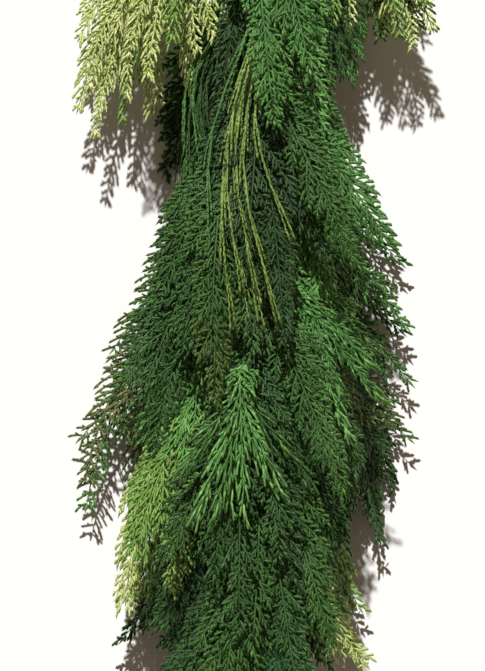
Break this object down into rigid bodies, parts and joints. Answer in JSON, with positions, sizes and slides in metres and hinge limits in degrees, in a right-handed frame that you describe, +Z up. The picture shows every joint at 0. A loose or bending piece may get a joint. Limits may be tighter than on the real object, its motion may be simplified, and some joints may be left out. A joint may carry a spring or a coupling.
{
  "type": "cedar garland",
  "caption": "Section of thick garland made of fresh cut cedar sprays bound to a spine in overlapping whorls, as cut, lying down.",
  "frame": {"origin": "under the middle of the box, on the surface that the garland lies on", "axes": "+Y along the garland towards the end that it hangs from, +Z up, away from the surface that it lies on"},
  "size_m": [0.2812, 0.726, 0.1559],
  "materials": {
    "bark": "matt grey-brown bark of the bound stems",
    "foliage_deep": "satin, deep green cedar scales",
    "foliage_fresh": "satin, fresh mid-green cedar scales",
    "foliage_yellow_green": "satin, light yellow-green cedar scales",
    "foliage_whips": "satin, bright yellow-green whips"
  },
  "bodies": {
    "root": {"spine": "bark", "centre_bunch_1": "foliage_fresh", "upper_left_bunch_1": "foliage_yellow_green", "upper_right_bunch_1": "foliage_fresh", "left_bunch_1": "foliage_yellow_green", "right_bunch_1": "foliage_fresh", "under_bunch_1": "foliage_yellow_green", "centre_bunch_2": "foliage_whips", "upper_left_bunch_2": "foliage_deep", "upper_right_bunch_2": "foliage_deep", "left_bunch_2": "foliage_deep", "right_bunch_2": "foliage_deep", "under_bunch_2": "foliage_deep", "centre_bunch_3": "foliage_deep", "upper_left_bunch_3": "foliage_deep", "upper_right_bunch_3": "foliage_deep", "left_bunch_3": "foliage_deep", "right_bunch_3": "foliage_deep", "under_bunch_3": "foliage_deep", "centre_bunch_4": "foliage_deep", "upper_left_bunch_4": "foliage_deep", "upper_right_bunch_4": "foliage_fresh", "left_bunch_4": "foliage_deep", "right_bunch_4": "foliage_deep", "under_bunch_4": "foliage_deep", "centre_bunch_5": "foliage_fresh", "upper_left_bunch_5": "foliage_deep", "upper_right_bunch_5": "foliage_deep", "left_bunch_5": "foliage_deep", "right_bunch_5": "foliage_deep", "under_bunch_5": "foliage_deep", "centre_bunch_6": "foliage_deep", "upper_left_bunch_6": "foliage_deep", "upper_right_bunch_6": "foliage_deep", "left_bunch_6": "foliage_deep", "right_bunch_6": "foliage_deep", "under_bunch_6": "foliage_deep", "centre_bunch_7": "foliage_deep", "upper_left_bunch_7": "foliage_yellow_green", "upper_right_bunch_7": "foliage_deep", "left_bunch_7": "foliage_yellow_green", "right_bunch_7": "foliage_deep", "under_bunch_7": "foliage_deep", "centre_bunch_8": "foliage_deep", "upper_left_bunch_8": "foliage_deep", "upper_right_bunch_8": "foliage_deep", "left_bunch_8": "foliage_deep", "right_bunch_8": "foliage_deep", "under_bunch_8": "foliage_deep", "centre_bunch_9": "foliage_deep", "upper_left_bunch_9": "foliage_deep", "upper_right_bunch_9": "foliage_deep", "left_bunch_9": "foliage_deep", "right_bunch_9": "foliage_deep", "under_bunch_9": "foliage_deep"}
  },
  "joints": []
}
